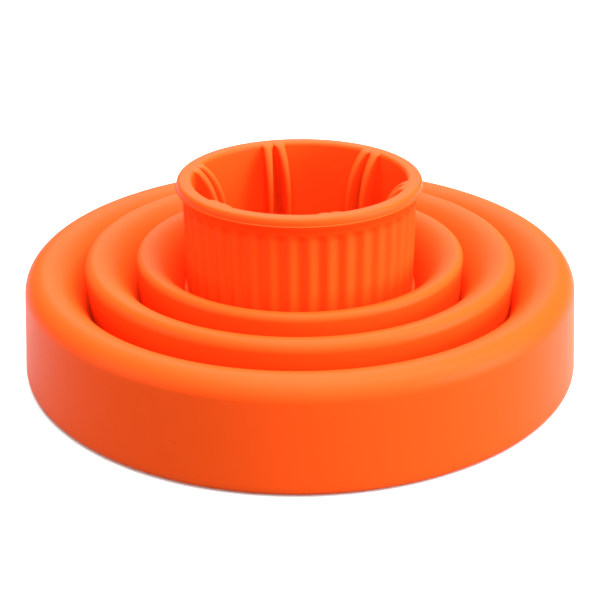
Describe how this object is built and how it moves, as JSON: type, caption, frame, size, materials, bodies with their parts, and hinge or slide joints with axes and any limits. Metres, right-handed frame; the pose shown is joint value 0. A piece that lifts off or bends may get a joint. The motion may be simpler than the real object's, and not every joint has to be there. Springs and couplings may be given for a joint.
{
  "type": "collapsible diffuser",
  "caption": "Folding silicone hair dryer diffuser: a perforated face in a round band, nested rings on thin fold webs, and a fluted neck with grip fins inside.",
  "frame": {"origin": "centre of the flat edge that the outer band rests on", "axes": "+Z along the rings' common axis, up through the neck; +X and +Y in the plane of the band's edge, with a pair of grip fins 45 degrees round from +X"},
  "size_m": [0.143, 0.143, 0.0468],
  "materials": {
    "orange_silicone": "satin moulded silicone",
    "thin_orange_silicone": "satin moulded silicone, thin and slightly translucent",
    "face_silicone": "satin moulded silicone"
  },
  "bodies": {
    "base": {"outer_band": "orange_silicone", "outer_fold_web": "thin_orange_silicone", "diffuser_face": "face_silicone"},
    "middle_stage": {"middle_ring": "orange_silicone", "middle_fold_web": "thin_orange_silicone"},
    "inner_stage": {"inner_ring": "orange_silicone", "inner_fold_web": "thin_orange_silicone"},
    "neck": {"neck_sleeve": "orange_silicone", "neck_rim_bead": "orange_silicone", "neck_foot_ring": "orange_silicone", "grip_fin_01": "orange_silicone", "grip_fin_02": "orange_silicone", "grip_fin_03": "orange_silicone", "grip_fin_04": "orange_silicone", "grip_fin_05": "orange_silicone", "grip_fin_06": "orange_silicone", "grip_fin_07": "orange_silicone", "grip_fin_08": "orange_silicone", "grip_fin_09": "orange_silicone", "grip_fin_10": "orange_silicone", "grip_fin_11": "orange_silicone", "grip_fin_12": "orange_silicone"}
  },
  "joints": [
    {"name": "middle_lift", "type": "slide", "parent": "base", "child": "middle_stage", "axis": [0, 0, 1], "range_m": [0, 0.025], "deforming": ["outer_fold_web"]},
    {"name": "inner_lift", "type": "slide", "parent": "middle_stage", "child": "inner_stage", "axis": [0, 0, 1], "range_m": [0, 0.026], "deforming": ["middle_fold_web"]},
    {"name": "neck_lift", "type": "slide", "parent": "inner_stage", "child": "neck", "axis": [0, 0, 1], "range_m": [0, 0.025], "deforming": ["inner_fold_web"]}
  ]
}
